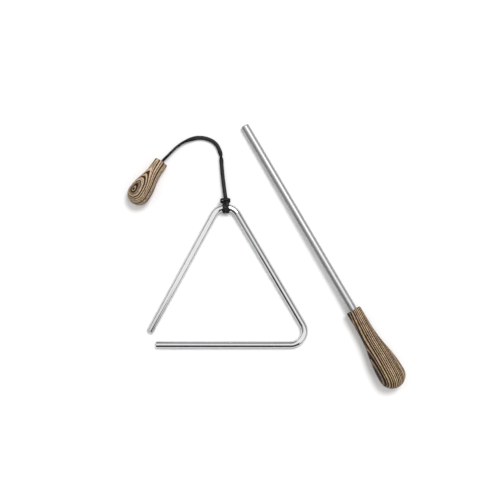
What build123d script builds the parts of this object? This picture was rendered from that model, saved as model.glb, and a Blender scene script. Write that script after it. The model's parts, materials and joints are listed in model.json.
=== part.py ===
"""A triangle instrument laid out on a table: the bent steel bar, its leather lace with a turned
wooden holder, and its beater with a turned wooden handle.

Millimetres, +Z up, seen from above as it lies: +X along the base of the triangle, +Y from the base
to the apex. The origin is on the table, under the middle of the footprint of the rigid pieces.
"""

import os
from math import acos, asin, atan2, ceil, cos, hypot, radians, sin, sqrt, tan

from build123d import *

# Triangle bar: one round steel bar with two bends and an open corner
closed_side = 152.4  # between the two sharp corners of the centreline
left_leg = 136.5  # from the sharp apex to the free end
base_leg = 137.5  # from the sharp base corner to the free end
apex_angle = 59.1  # degrees
base_angle = 59.5  # degrees
bar_diameter = 6.0
bend_radius = 12.0  # at the centreline
bar_edge = 0.5  # bevel of the cut ends

# Lace: one flat leather strip, doubled, hitched round the apex, its ends glued in the holder
lace_width = 3.0
lace_thickness = 0.8
ply_gap = 0.5  # between the two plies, and between the two wraps on the bar
lace_seat = 18.0  # length of each end in the holder
lace_exit = 7.5  # straight run out of the holder
station_pitch = 1.6  # between the sections of a ply

# Lark's-head hitch: two wraps on the bar, and a bight that crosses over the two legs
hitch_clearance = 0.12  # of the wraps from the bend, where they come closest
hitch_neck = 5.6  # from the outside of the wraps to where the plies lie on each other
hitch_drop = 0.2  # of the plies there, below the bar's centre
hitch_side_step = -0.4  # of the plies there, from the middle of the hitch
bight_gap = 0.8  # between the bight and the leg that it crosses
bight_lobe = 1.25  # of the bight past the wraps, at each side
bight_turn = 1.7  # radius of its turn round the legs
bight_leg_share = 0.64  # along the upper leg, where the bight crosses it
upper_leave = 100.0  # degrees round the bar from +Y, where the upper leg leaves its wrap
lower_leave = 48.0  # degrees, the same for the lower leg
back_leave = -45.0  # degrees, where the bight leaves the wraps
upper_hold_share = 1.7  # of a natural pull, that keeps the upper leg in line with its wrap
lower_hold_share = 0.85  # the same for the lower leg
bight_hold_share = 1.5  # and for the bight, behind the bar
bight_late_share = 0.6  # of the bight's quarter turn behind the bar, held back to the end

# Holder: a small pear turned from striped wood
holder_length = 44.0
holder_neck = 12.2
holder_belly = 20.0
holder_neck_run = 7.0
holder_edge = 0.8  # bevel at the mouth
holder_heading = 235.5  # degrees, from the mouth to the belly
lace_bore_clearance = 0.25
lace_bore_spare = 1.0  # past the lace's ends

# Beater: a steel rod in a longer handle of the same form
rod_diameter = 7.0
rod_reach = 185.0  # from the handle to the tip
rod_seat = 46.0  # in the handle
rod_edge = 0.6  # bevel of its ends
rod_bore_clearance = 0.05
rod_bore_spare = 1.0
handle_length = 77.0
handle_neck = 13.3
handle_belly = 23.4
handle_neck_run = 17.0
handle_edge = 1.0  # bevel at the mouth
beater_spacing = 44.0  # from the closed side, which it lies parallel to
beater_lead = 42.0  # of the tip past the sharp apex

# The ogee between a neck and a belly: the hollow arc's part of the two radii
hollow_share = 0.5

# The lace's way over the table, as places from the top of the apex bend and heights above the table.
# It starts at the holder's mouth and ends where the plies come together at the hitch.
holder_mouth = (-55.7, 39.4)
lace_route = [
    (-43.5, 52.6, 3.4),
    (-34.5, 58.2, 2.3),
    (-21.5, 61.3, 1.6),
    (-9.5, 57.2, 1.7),
    (-4.4, 48.0, 2.1),
    (-3.2, 36.0, 2.4),
    (-2.0, 23.5, 2.9),
]
# Its roll in degrees: on edge at the holder, flat over the top, then half a turn
lace_roll_shares = [(0.0, 90.0), (0.24, 84.0), (0.42, 0.0), (0.59, 0.0), (0.74, -180.0), (1.0, -180.0)]
arc_share = 0.45  # of the shorter run, that the arc at a point of the route takes up

bar_radius = bar_diameter / 2
rod_radius = rod_diameter / 2
up = Vector(0, 0, 1)


def heading(angle, rise=0.0):
    """The unit vector at an angle from +X, rising from the table."""
    return Vector(cos(angle) * cos(rise), sin(angle) * cos(rise), sin(rise))


def ogee_radii(neck, belly, neck_run, length):
    """The radii of the hollow and the full arc that join a neck to a belly."""
    run = length - belly / 2 - neck_run
    rise = (belly - neck) / 2
    both = (run**2 + rise**2) / (2 * rise)
    return both * hollow_share, both * (1 - hollow_share)


def rest_tilt(belly, full_radius, reach, end_radius):
    """How far a piece tips, lying on its belly and on the rim of its far end."""
    level = full_radius - belly / 2 + end_radius
    return atan2(reach, level) - acos(full_radius / hypot(reach, level))


def far_end_height(belly, full_radius, reach, tilt):
    """The height of the axis at the far end of a piece that lies so."""
    return full_radius - (full_radius - belly / 2) * cos(tilt) - reach * sin(tilt)


def turned_outline(length, neck, belly, neck_run, edge, bore, bore_depth):
    """Half of a pear with a blind bore, along local X from its mouth."""
    hollow, full = ogee_radii(neck, belly, neck_run, length)
    belly_at = length - belly / 2
    hollow_centre = Vector(neck_run, neck / 2 + hollow)
    full_centre = Vector(belly_at, belly / 2 - full)
    meeting = hollow_centre + (full_centre - hollow_centre) * hollow_share
    Polyline((length, 0), (bore_depth, 0), (bore_depth, bore / 2), (0, bore / 2))
    Polyline((0, bore / 2), (0, neck / 2 - edge), (edge, neck / 2), (neck_run, neck / 2))
    TangentArc((neck_run, neck / 2), meeting, tangent=(1, 0))
    TangentArc((belly_at, belly / 2), meeting, tangent=(-1, 0))
    TangentArc((belly_at, belly / 2), (length, 0), tangent=(1, 0))


def flat_across(along):
    """The way across a strip that lies flat."""
    return along.cross(up).normalized()


def ease(share):
    return share * share * (3 - 2 * share)


def roll_at(share):
    """The lace's roll at a share of its length."""
    for (start, first), (end, last) in zip(lace_roll_shares, lace_roll_shares[1:]):
        if share <= end:
            return radians(first + (last - first) * ease((share - start) / (end - start)))
    return radians(lace_roll_shares[-1][1])


def lace_sections(stations):
    """The lace's section at each station, which is a place, a direction and the way across."""
    sections = []
    for place, along, across in stations:
        with BuildSketch(Plane(origin=place, x_dir=across, z_dir=along)) as section:
            Rectangle(lace_width, lace_thickness)
        sections.append(section.sketch)
    return sections


# Places on the triangle, in its plane, from the top of the apex bend
half_apex = radians(apex_angle / 2)
side_lean = radians(base_angle)
bend_centre = Vector(0, -bend_radius)
sharp_apex = bend_centre - heading(-side_lean - half_apex) * (bend_radius / sin(half_apex))
base_corner = sharp_apex + heading(-side_lean) * closed_side
left_end = sharp_apex + heading(-side_lean - 2 * half_apex) * left_leg
base_end = base_corner - Vector(base_leg, 0)

# The wraps clear the bend as they turn on it, and the apex lies on them
wrap_step = (lace_width + ply_gap) / 2
wrap_half = wrap_step + lace_width / 2
wrap_inside = bend_radius - sqrt((bend_radius - bar_radius) ** 2 - wrap_half**2) + hitch_clearance
wrap_middle = wrap_inside + lace_thickness / 2
wrap_outside = wrap_inside + lace_thickness
triangle_tilt = asin((wrap_outside - bar_radius) / -base_corner.Y)

# The holder and the beater each lie on the belly and on the far end
holder_full = ogee_radii(holder_neck, holder_belly, holder_neck_run, holder_length)[1]
holder_reach = holder_length - holder_belly / 2
holder_tilt = rest_tilt(holder_belly, holder_full, holder_reach - holder_edge, holder_neck / 2)
holder_axis = heading(radians(holder_heading), holder_tilt)
mouth_height = far_end_height(holder_belly, holder_full, holder_reach, holder_tilt)

handle_full = ogee_radii(handle_neck, handle_belly, handle_neck_run, handle_length)[1]
beater_reach = rod_reach + handle_length - handle_belly / 2
beater_tilt = rest_tilt(handle_belly, handle_full, beater_reach - rod_edge, rod_radius)
beater_axis = heading(-side_lean, beater_tilt)
tip_height = far_end_height(handle_belly, handle_full, beater_reach, beater_tilt)
beater_side = heading(radians(90) - side_lean)
tip_step = sharp_apex - heading(-side_lean) * beater_lead + beater_side * beater_spacing

# The footprint's middle, from the apex, sets where the apex stands
rim_share = sqrt(1 - beater_axis.Y**2)
tip_rise = max((rod_radius - rod_edge) * rim_share, rod_radius * rim_share + rod_edge * beater_axis.Y)
handle_belly_step = tip_step + beater_axis * beater_reach
left_most = holder_mouth[0] + holder_axis.X * holder_reach - holder_belly / 2
right_most = handle_belly_step.X + handle_belly / 2
lowest = handle_belly_step.Y - handle_belly / 2
highest = tip_step.Y + tip_rise
apex_foot = Vector(-(left_most + right_most) / 2, -(lowest + highest) / 2)
apex = apex_foot + up * wrap_outside
mouth = apex_foot + Vector(*holder_mouth, mouth_height)
tip = apex_foot + Vector(tip_step.X, tip_step.Y, tip_height)
collar = tip + beater_axis * rod_reach

# The triangle bar
triangle_plane = Plane(origin=apex, x_dir=(1, 0, 0), z_dir=(0, -sin(triangle_tilt), cos(triangle_tilt)))
with BuildPart() as triangle_bar:
    with BuildLine(triangle_plane) as bar_path:
        corners = [tuple(place) for place in (left_end, sharp_apex, base_corner, base_end)]
        FilletPolyline(*corners, radius=bend_radius)
    with BuildSketch(Plane(origin=bar_path.line @ 0, z_dir=bar_path.line % 0)):
        Circle(bar_radius)
    sweep()
    chamfer(triangle_bar.faces().filter_by(GeomType.PLANE).edges(), bar_edge)

# The holder, bored for the two ends of the lace
lace_bore = hypot(lace_width, 2 * lace_thickness + ply_gap) + 2 * lace_bore_clearance
with BuildPart() as holder_knob:
    with BuildSketch(Plane(origin=mouth, x_dir=holder_axis, z_dir=holder_axis.cross(up))):
        with BuildLine():
            turned_outline(
                holder_length,
                holder_neck,
                holder_belly,
                holder_neck_run,
                holder_edge,
                lace_bore,
                lace_seat + lace_bore_spare,
            )
        make_face()
    revolve(axis=Axis(mouth, holder_axis))

# The beater's handle, bored for the rod
with BuildPart() as beater_handle:
    with BuildSketch(Plane(origin=collar, x_dir=beater_axis, z_dir=beater_axis.cross(up))):
        with BuildLine():
            turned_outline(
                handle_length,
                handle_neck,
                handle_belly,
                handle_neck_run,
                handle_edge,
                rod_diameter + 2 * rod_bore_clearance,
                rod_seat + rod_bore_spare,
            )
        make_face()
    revolve(axis=Axis(collar, beater_axis))

# The beater's rod, from its tip to its seat in the handle
with BuildPart() as beater_rod:
    with BuildSketch(Plane(origin=tip, z_dir=beater_axis)):
        Circle(rod_radius)
    extrude(amount=rod_reach + rod_seat)
    chamfer(beater_rod.faces().filter_by(GeomType.PLANE).edges(), rod_edge)

# The lace's route, with the largest arcs that its runs leave room for
plies_end = apex + Vector(hitch_side_step, wrap_outside + hitch_neck, -hitch_drop)
route = [mouth, mouth - holder_axis * lace_exit]
route += [apex_foot + Vector(*place) for place in lace_route]
route += [plies_end]
arc_radii = []
for before, here, after in zip(route, route[1:], route[2:]):
    turn = radians((here - before).get_angle(after - here))
    shorter = min((here - before).length, (after - here).length)
    arc_radii.append(arc_share * shorter / tan(turn / 2))
with BuildLine() as lace_path:
    FilletPolyline(*route, radius=arc_radii)
lace_line = lace_path.wire()
lace_length = lace_line.length


def ply_stations(side):
    """The stations of the ply that ends above or below the route, from its end in the holder."""
    count = ceil(lace_length / station_pitch)
    stations = []
    for step in range(count + 1):
        share = step / count
        place = lace_line.position_at(share)
        along = lace_line.tangent_at(share)
        flat = flat_across(along)
        across = flat * cos(roll_at(share)) + flat.cross(along) * sin(roll_at(share))
        place += along.cross(across) * (side * (lace_thickness + ply_gap) / 2)
        stations.append((place, along, across))
    place, along, across = stations[0]
    return [(place + holder_axis * lace_seat, along, across)] + stations


upper_ply = ply_stations(1)
lower_ply = ply_stations(-1)
with BuildPart() as lace_upper_ply:
    loft(lace_sections(upper_ply), ruled=True)
with BuildPart() as lace_lower_ply:
    loft(lace_sections(lower_ply), ruled=True)


def on_wrap(side, angle):
    """A place in the middle of a wrap, at an angle round the bar from +Y."""
    return apex + Vector(side * wrap_step, wrap_middle * cos(angle), wrap_middle * sin(angle))


def round_wrap(angle):
    """The way along a wrap from the bight to its leg."""
    return Vector(0, sin(angle), -cos(angle))


def hitch_leg(side, angle, hold_share, end, end_along):
    """The leg of the hitch from its wrap to the ply that it becomes."""
    ways = (round_wrap(angle), end_along)
    return Spline(on_wrap(side, angle), end, tangents=ways, tangent_scalars=(hold_share, 1))


def hitch_stations(side, leave, leg):
    """Half of the hitch, from the middle of the bight round the bar to the end of a leg."""
    lobe = wrap_half + bight_lobe
    sideways = Vector(side, 0, 0)
    turn_start = bight_middle + sideways * (lobe - bight_turn)
    turn_end = turn_start + (sideways - bight_normal) * bight_turn
    back = radians(back_leave)
    front = leave - radians(360)
    half_way = (back + front) / 2
    first_way, last_way = (back + half_way) / 2, (half_way + front) / 2
    over = Line(bight_middle, turn_start)
    turn = TangentArc(turn_start, turn_end, tangent=sideways)
    ways = (-bight_normal, round_wrap(back))
    behind = Spline(turn_end, on_wrap(side, back), tangents=ways, tangent_scalars=(1, bight_hold_share))
    under = ThreePointArc(on_wrap(side, back), on_wrap(side, first_way), on_wrap(side, half_way))
    round_front = ThreePointArc(on_wrap(side, half_way), on_wrap(side, last_way), on_wrap(side, front))
    stations = [(bight_middle, sideways, bight_across)]
    for line, count in ((over, 1), (turn, 5), (behind, 10), (under, 7), (round_front, 7), (leg, 10)):
        for step in range(1, count + 1):
            share = step / count
            along = line.tangent_at(share)
            if line is over or line is turn:
                across = bight_across
            elif line is behind:
                quarter = radians(90) * ease(share) * (1 - bight_late_share * (1 - share))
                across = bight_across * cos(quarter) - sideways * sin(quarter)
                across = (across - along * across.dot(along)).normalized()
            elif line is leg:
                across = -sideways * (1 - share) - flat_across(along) * (side * share)
                across = (across - along * across.dot(along)).normalized()
            else:
                across = -sideways
            stations.append((line.position_at(share), along, across))
    return stations


def least_gap(stations, skip):
    """The least gap of a strip to itself, between points more than skip along it from each other."""
    outline = []
    run = 0.0
    for number, (place, along, across) in enumerate(stations):
        run += (place - stations[max(number - 1, 0)][0]).length
        rim = along.cross(across) * (lace_thickness / 2)
        edges = [across * (lace_width * part / 8) for part in range(-4, 5)]
        outline.append((run, place, [place + edge + face for edge in edges for face in (rim, -rim)]))
    least = skip
    for number, (run, place, points) in enumerate(outline):
        for other_run, other_place, other_points in outline[number + 1 :]:
            if other_run - run > skip and (place - other_place).length < lace_width + skip:
                least = min(least, min((a - b).length for a in points for b in other_points))
    return least


# The lark's-head hitch, one strip from the end of one leg over the bight to the end of the other
upper_end, end_along, _ = upper_ply[-1]
lower_end = lower_ply[-1][0]
upper_leg = hitch_leg(1, radians(upper_leave), upper_hold_share, upper_end, -end_along)
lower_leg = hitch_leg(-1, radians(lower_leave), lower_hold_share, lower_end, -end_along)
crossed = upper_leg.position_at(bight_leg_share)
crossed_along = upper_leg.tangent_at(bight_leg_share)
bight_across = Vector(0, crossed_along.Y, crossed_along.Z).normalized()
bight_normal = Vector(0, -bight_across.Z, bight_across.Y)
bight_middle = Vector(apex.X, crossed.Y, crossed.Z) + bight_normal * (lace_thickness + bight_gap)
upper_half = hitch_stations(1, radians(upper_leave), upper_leg)
lower_half = hitch_stations(-1, radians(lower_leave), lower_leg)
hitch = [(place, -along, across) for place, along, across in reversed(lower_half[1:])] + upper_half
with BuildPart() as lace_hitch:
    loft(lace_sections(hitch), ruled=True)

# Export
triangle_bar.part.label = "triangle_bar"
lace_hitch.part.label = "lace_hitch"
lace_upper_ply.part.label = "lace_upper_ply"
lace_lower_ply.part.label = "lace_lower_ply"
holder_knob.part.label = "holder_knob"
beater_rod.part.label = "beater_rod"
beater_handle.part.label = "beater_handle"
os.makedirs("parts", exist_ok=True)
export_step(triangle_bar.part, "parts/triangle_bar.step")
export_step(lace_hitch.part, "parts/lace_hitch.step")
export_step(lace_upper_ply.part, "parts/lace_upper_ply.step")
export_step(lace_lower_ply.part, "parts/lace_lower_ply.step")
export_step(holder_knob.part, "parts/holder_knob.step")
export_step(beater_rod.part, "parts/beater_rod.step")
export_step(beater_handle.part, "parts/beater_handle.step")

# Facts about the lace and the places that the record gives
section = lace_width * lace_thickness
print("lace arc radii", [round(radius, 1) for radius in arc_radii])
print("lace from mouth to hitch", round(lace_length, 1))
print("ply volume", round(lace_upper_ply.part.volume, 1), "section x length",
      round(section * (lace_length + lace_seat), 1))
print("hitch volume", round(lace_hitch.part.volume, 1), "least gap to itself",
      round(least_gap(hitch, 2 * bight_turn), 2))
print("hinge of the hitch", apex)
print("holder mouth", mouth, "axis", holder_axis)
print("beater tip", tip, "axis", beater_axis)
print("base bar's free end", triangle_plane.from_local_coords(base_end))
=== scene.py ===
"""A triangle instrument as it lies on a white table: the bent bar, its lace with a turned holder,
and its beater. Metres, in the frame of the packed part: +X along the base, +Y to the apex, +Z up."""

import json
from math import asin, atan2, cos, hypot, pi, radians, sin, sqrt, tan

import bpy
from bpy.props import FloatProperty, FloatVectorProperty, PointerProperty
from bpy.types import Operator, Panel, PropertyGroup
from mathutils import Matrix, Vector


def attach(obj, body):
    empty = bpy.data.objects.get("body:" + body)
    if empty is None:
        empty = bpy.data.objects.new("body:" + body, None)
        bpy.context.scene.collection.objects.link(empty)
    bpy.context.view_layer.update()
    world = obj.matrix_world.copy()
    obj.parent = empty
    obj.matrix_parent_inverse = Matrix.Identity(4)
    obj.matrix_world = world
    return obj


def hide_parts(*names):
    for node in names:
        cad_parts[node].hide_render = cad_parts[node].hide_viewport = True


bl_info = {
    "name": "Triangle Instrument",
    "version": (1, 0, 0),
    "blender": (4, 5, 0),
    "location": "View3D > Sidebar > Triangle",
    "description": "Models a triangle with its lace, holder and beater on a white table",
    "category": "Object",
}

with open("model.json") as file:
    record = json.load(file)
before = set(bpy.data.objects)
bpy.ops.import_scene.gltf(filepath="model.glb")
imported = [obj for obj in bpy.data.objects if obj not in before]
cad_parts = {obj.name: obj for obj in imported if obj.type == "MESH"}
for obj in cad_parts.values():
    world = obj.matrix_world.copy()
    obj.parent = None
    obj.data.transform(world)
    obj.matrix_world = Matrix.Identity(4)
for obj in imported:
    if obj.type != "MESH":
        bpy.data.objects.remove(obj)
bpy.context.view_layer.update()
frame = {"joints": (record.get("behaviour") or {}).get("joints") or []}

up = Vector((0, 0, 1))
apex = Vector(frame["joints"][0]["pos_m"])  # the middle of the bar, at the top of its bend
millimetres = 1000  # in a metre

# Steps round the bar and the rod, along each bend, and round each turned piece and the dark band
bar_steps = 64
bend_steps = 40
turned_steps = 96
weld = 0.000002  # places that are closer than this become one

# Place of a cut edge on the strip's map across it, and the map's length for each metre along it
map_edge = 0.02
map_scale = 300

# The lace's way from the holder to the hitch: places from the apex, heights above the table
lace_route = (
    (-0.0430, 0.0523, 0.0034),
    (-0.0345, 0.0582, 0.0023),
    (-0.0215, 0.0613, 0.0016),
    (-0.0095, 0.0572, 0.0017),
    (-0.0044, 0.0480, 0.0021),
    (-0.0036, 0.0360, 0.0024),
    (-0.0024, 0.0235, 0.0029),
)
# Its roll in degrees at shares of its length: on edge at the holder, flat over the top, half a turn
lace_roll = ((0.0, 90), (0.24, 84), (0.42, 0), (0.59, 0), (0.74, -180), (1.0, -180))
# How far it has left the holder's axis at the end of its straight run
lace_lean = Vector((0.0012, -0.0009, 0))


def length(name, description, default):
    """A size in metres that shows in the sidebar."""
    return FloatProperty(name=name, description=description, default=default, unit="LENGTH", precision=5)


def lengths(name, description, default):
    """Two or three sizes in metres that show in the sidebar."""
    return FloatVectorProperty(
        name=name, description=description, default=default, size=len(default), unit="LENGTH", precision=5
    )


def angle(name, description, degrees):
    """An angle that shows in the sidebar."""
    return FloatProperty(name=name, description=description, default=radians(degrees), subtype="ANGLE")


def share(name, description, default):
    """A plain ratio that shows in the sidebar."""
    return FloatProperty(name=name, description=description, default=default, subtype="FACTOR")


def brightness(name, description, default):
    """The strength of a light that shows in the sidebar."""
    return FloatProperty(name=name, description=description, default=default, subtype="UNSIGNED")


def way(name, description, default):
    """A direction that shows in the sidebar."""
    return FloatVectorProperty(
        name=name, description=description, default=default, subtype="DIRECTION", size=3
    )


def colour(name, description, default):
    """A linear colour that shows in the sidebar."""
    return FloatVectorProperty(
        name=name, description=description, default=default, subtype="COLOR", size=3, min=0, max=1
    )


class BarSizes(PropertyGroup):
    """The bent bar of the triangle."""

    closed_side: length("Closed side", "Between the two sharp corners of the centreline", 0.1524)
    left_leg: length("Left leg", "From the sharp apex to the free end", 0.1365)
    base_leg: length("Base leg", "From the sharp base corner to the free end", 0.1375)
    apex_angle: angle("Apex angle", "Between the two legs", 59.1)
    base_angle: angle("Base angle", "Between the closed side and the base", 59.5)
    diameter: length("Diameter", "Of the round bar", 0.006)
    bend_radius: length("Bend radius", "At the centreline", 0.012)
    edge: length("Edge", "Rounding of the cut ends", 0.0005)
    plating: colour("Plating", "Colour of the clean plating", (0.85, 0.85, 0.855))
    smears: colour("Smears", "Colour of the plating under faint smears", (0.775, 0.78, 0.79))
    # Painted shade: the dark low-angle tint darkens the bar's reflections at its rims
    rim: colour("Rim", "Tint of the plating where it is seen at a low angle", (0.08, 0.08, 0.08))


class LaceSizes(PropertyGroup):
    """The flat leather lace and its hitch."""

    width: length("Width", "Across each ply", 0.0033)
    thickness: length("Thickness", "Of each ply", 0.00105)
    press: length("Press", "Gap that is left between the two plies", 0.00012)
    hitch_width: length("Hitch width", "Across the strip in the hitch", 0.00275)
    hitch_thickness: length("Hitch thickness", "Of the strip in the hitch", 0.00085)
    gap: length("Gap", "Between the two wraps", 0.00015)
    seat: length("Seat", "Length of each end in the holder", 0.018)
    straight: length("Straight", "Run out of the holder before the first bend", 0.0075)
    clearance: length("Clearance", "Of the wraps from the bend", 0.00012)
    neck: length("Neck", "From the wraps to where the plies lie on each other", 0.0056)
    drop: length("Drop", "Of the plies there, below the middle of the bar", 0.0002)
    side_step: length("Side step", "Of the plies there, from the middle of the hitch", -0.0005)
    slack: length("Slack", "Of the wraps on the inner side of the bend", 0.0008)
    bight_gap: length("Bight gap", "Between the bight and the leg that it crosses", 0.0008)
    bight_lobe: length("Bight lobe", "Of the bight past the wraps, at each side", 0.00125)
    bight_turn: length("Bight turn", "Radius of its turn round the legs", 0.0017)
    left_tilt: angle("Left tilt", "Of the bight's left turn towards the bar", 21)
    right_tilt: angle("Right tilt", "Of the bight's right turn towards the bar", 6)
    bight_place: share("Bight place", "Along the upper leg, where the bight crosses it", 0.61)
    upper_leave: angle("Upper leave", "Round the bar, where the upper leg leaves its wrap", 100)
    lower_leave: angle("Lower leave", "Round the bar, where the lower leg leaves its wrap", 48)
    back_leave: angle("Back leave", "Round the bar, where the bight leaves the wraps", -45)
    upper_hold: share("Upper hold", "How long the upper leg keeps in line with its wrap", 1.7)
    lower_hold: share("Lower hold", "How long the lower leg keeps in line with its wrap", 0.85)
    bight_hold: share("Bight hold", "How long the bight keeps in line with the wraps", 1.72)
    bight_late: share("Bight late", "Of the bight's quarter turn, held back to its end", 0.6)
    leather: colour("Leather", "Colour of the face", (0.011, 0.0108, 0.0108))
    # Painted shade: darkens the strip along its eased edges, where they turn away from the light
    painted_edge_shade: colour("Painted edge shade", "Colour of the cut edges", (0.007, 0.0068, 0.0068))


class HolderSizes(PropertyGroup):
    """The small turned pear that the lace hangs from."""

    length: length("Length", "From the mouth to the round end", 0.044)
    neck: length("Neck", "Diameter of the neck", 0.0122)
    belly: length("Belly", "Diameter of the belly", 0.020)
    neck_run: length("Neck run", "Straight part of the neck", 0.007)
    edge: length("Edge", "Rounding at the mouth", 0.0008)
    bore: length("Bore", "Diameter of the hole for the lace", 0.00416)
    bore_depth: length("Bore depth", "Of the hole for the lace", 0.019)
    mouth: lengths("Mouth", "Its place from the apex, from above", (-0.0557, 0.0394))
    heading: angle("Heading", "From the mouth to the round end, from above", 235.5)
    pale: colour("Pale wood", "Colour of the pale layers", (0.74, 0.545, 0.395))
    dark: colour("Dark wood", "Colour of the dark layers", (0.064, 0.025, 0.006))
    layer_way: way("Layer way", "Across the layers, in the piece's own axes", (0.03, -0.60, 0.80))
    layer: length("Layer", "Thickness of a pale and a dark layer", 0.00105)
    first_ring: length("First ring", "Depth of the first ring under the outermost place", 0.0002)
    ring_share: share("Ring share", "How far the layers widen from the outermost place", 0.6)
    # The darker heart is partly painted shade: it darkens the side that the layers' outermost place faces
    heart_and_shade: length("Heart And Shade", "Depth of the darker wood at the outermost place", 0.0013)
    sway: length("Sway", "Of the layers along the grain", 0.0006)
    unevenness: share("Unevenness", "Of the layers' thickness", 1.5)
    dark_share: share("Dark share", "How much of each layer is dark", 0.53)


class HandleSizes(PropertyGroup):
    """The longer turned pear on the beater."""

    length: length("Length", "From the mouth to the round end", 0.077)
    neck: length("Neck", "Diameter of the neck", 0.0133)
    belly: length("Belly", "Diameter of the belly", 0.0234)
    neck_run: length("Neck run", "Straight part of the neck", 0.017)
    edge: length("Edge", "Rounding at the mouth", 0.001)
    bore: length("Bore", "Diameter of the hole for the rod", 0.0071)
    bore_depth: length("Bore depth", "Of the hole for the rod", 0.047)
    pale: colour("Pale wood", "Colour of the pale layers", (0.75, 0.55, 0.38))
    dark: colour("Dark wood", "Colour of the dark layers", (0.054, 0.0205, 0.0045))
    layer_way: way("Layer way", "Across the layers, in the piece's own axes", (-0.06, -0.935, 0.35))
    layer: length("Layer", "Thickness of a pale and a dark layer", 0.0015)
    first_ring: length("First ring", "Depth of the first ring under the outermost place", 0.0003)
    ring_share: share("Ring share", "How far the layers widen from the outermost place", 0.1)
    # On the handle that place is the flank in shade, so its darker heart is painted shade there
    heart_and_shade: length("Heart And Shade", "Depth of the darker wood at the outermost place", 0.0036)
    sway: length("Sway", "Of the layers along the grain", 0.0005)
    unevenness: share("Unevenness", "Of the layers' thickness", 0.7)
    dark_share: share("Dark share", "How much of each layer is dark", 0.66)


class RodSizes(PropertyGroup):
    """The steel rod of the beater."""

    diameter: length("Diameter", "Of the rod", 0.007)
    reach: length("Reach", "From the handle to the tip", 0.185)
    seat: length("Seat", "Length in the handle", 0.046)
    edge: length("Edge", "Rounding of the ends", 0.00083)
    touch: length("Touch", "From the tip to where the rod touches the table", 0.0006)
    spacing: length("Spacing", "From the closed side, which the beater lies parallel to", 0.044)
    lead: length("Lead", "Of the tip past the sharp apex", 0.042)
    steel: colour("Steel", "Colour of the satin steel", (0.49, 0.49, 0.495))


class StageLook(PropertyGroup):
    """The table, the light and the camera."""

    view_width: length("View width", "Width that the picture shows at the view height", 0.433)
    view_height: length("View height", "Above the table", 0.004)
    camera_over: lengths("Camera over", "Place on the table under the camera", (-0.01413, 0.00518))
    camera_height: length("Camera height", "Above the view height", 1.5)
    table_size: length("Table size", "Of the square table", 6.0)
    floor: colour("Floor", "Colour of the table", (0.94, 0.94, 0.94))
    table_white: share("Table white", "Brightness that the table adds to look white", 0.05)
    lamp_way: way("Lamp way", "From the table to the soft lamp", (0.37, 0.67, 1.5))
    lamp_distance: length("Lamp distance", "Of the soft lamp from the middle of the table", 1.2)
    lamp_strength: brightness("Lamp strength", "Of the soft lamp", 1.75)
    lamp_spread: angle("Lamp spread", "How wide the soft lamp looks from the table", 20)
    room_light: brightness("Room light", "Strength of the white room", 0.98)
    room_grey: colour("Grey room", "Colour of the room on its two grey sides", (0.35, 0.35, 0.355))
    grey_way: angle("Grey way", "Direction of the two grey sides", 61)
    white_middle: share("White middle", "Of the white between the grey sides, on the grey way", 0.05)
    white_half: share("White half", "How far the white goes to each side of its middle", 0.2)
    grey_from: share("Grey from", "How far from that middle the room is all grey", 0.5)
    card: colour("Card", "Colour of the dark card and of the low band", (0.03, 0.03, 0.031))
    card_middle: lengths("Card middle", "Of the dark card", (-0.25, -0.5, 0.65))
    card_size: lengths("Card size", "Of the dark card", (1.1, 1.2))
    band_radius: length("Band radius", "Of the low dark band", 1.3)
    band_height: length("Band height", "Of the low dark band", 0.5)


def deselect_all():
    """Leaves no object selected, so that the next step works on its own piece only."""
    bpy.ops.object.select_all(action="DESELECT")


def finished(piece, name, body, node):
    """Names a modelled piece and lets it stand for its node on its body."""
    piece.name = name
    piece.data.name = name
    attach(piece, body)
    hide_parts(node)
    return piece


def settle(piece, place):
    """Moves a piece that was modelled at the origin to its place, in its mesh."""
    piece.matrix_world = place
    deselect_all()
    piece.select_set(True)
    bpy.context.view_layer.objects.active = piece
    bpy.ops.object.transform_apply(location=True, rotation=True, scale=True)


def axes_at(origin, along):
    """The place of a piece whose own +X runs along a direction, with its +Z as far up as it goes."""
    x = along.normalized()
    y = up.cross(x).normalized()
    z = x.cross(y)
    place = Matrix((x, y, z)).transposed().to_4x4()
    place.translation = origin
    return place


def from_above(heading):
    """The level direction at a heading, which counts from +X."""
    return Vector((cos(heading), sin(heading), 0))


def sharp_apex(sizes):
    """Where the middle lines of the two legs would meet, from the top of the bend, in the bar's plane."""
    half = sizes.apex_angle / 2
    to_bend = sizes.bend_radius / sin(half)
    return from_above(pi - sizes.base_angle - half) * to_bend - Vector((0, sizes.bend_radius, 0))


def ogee_radius(pear):
    """Radius of the two arcs between the neck and the belly of a pear."""
    run = pear.length - pear.belly / 2 - pear.neck_run
    rise = (pear.belly - pear.neck) / 2
    return (run**2 + rise**2) / (4 * rise)


def lying_place(over, heading, radius, touch, pear, reach=0.0):
    """The place of a piece that lies on its belly and on the rim of its thin end, with +X to the belly."""
    # The table touches the belly's arc, so the rim, that place and the arc's centre make a right triangle
    arc = ogee_radius(pear)
    along = reach + pear.length - pear.belly / 2 - touch
    across = radius + arc - pear.belly / 2
    rise = asin(arc / hypot(along, across)) - atan2(across, along)
    height = radius * cos(rise) - touch * sin(rise)
    return axes_at(Vector((over.x, over.y, height)), from_above(heading) * cos(rise) + up * sin(rise))


def holder_place(scene):
    """Where the holder lies, from the middle of its mouth."""
    sizes = scene.triangle_holder_sizes
    over = apex + Vector((*sizes.mouth, 0))
    return lying_place(over, sizes.heading, sizes.neck / 2, sizes.edge, sizes)


def beater_place(scene):
    """Where the beater lies, from the middle of its tip."""
    bar = scene.triangle_bar_sizes
    rod = scene.triangle_rod_sizes
    handle = scene.triangle_handle_sizes
    down = from_above(-bar.base_angle)
    over = apex + sharp_apex(bar) - down * rod.lead + up.cross(down) * rod.spacing
    return lying_place(over, -bar.base_angle, rod.diameter / 2, rod.touch, handle, rod.reach)


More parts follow.
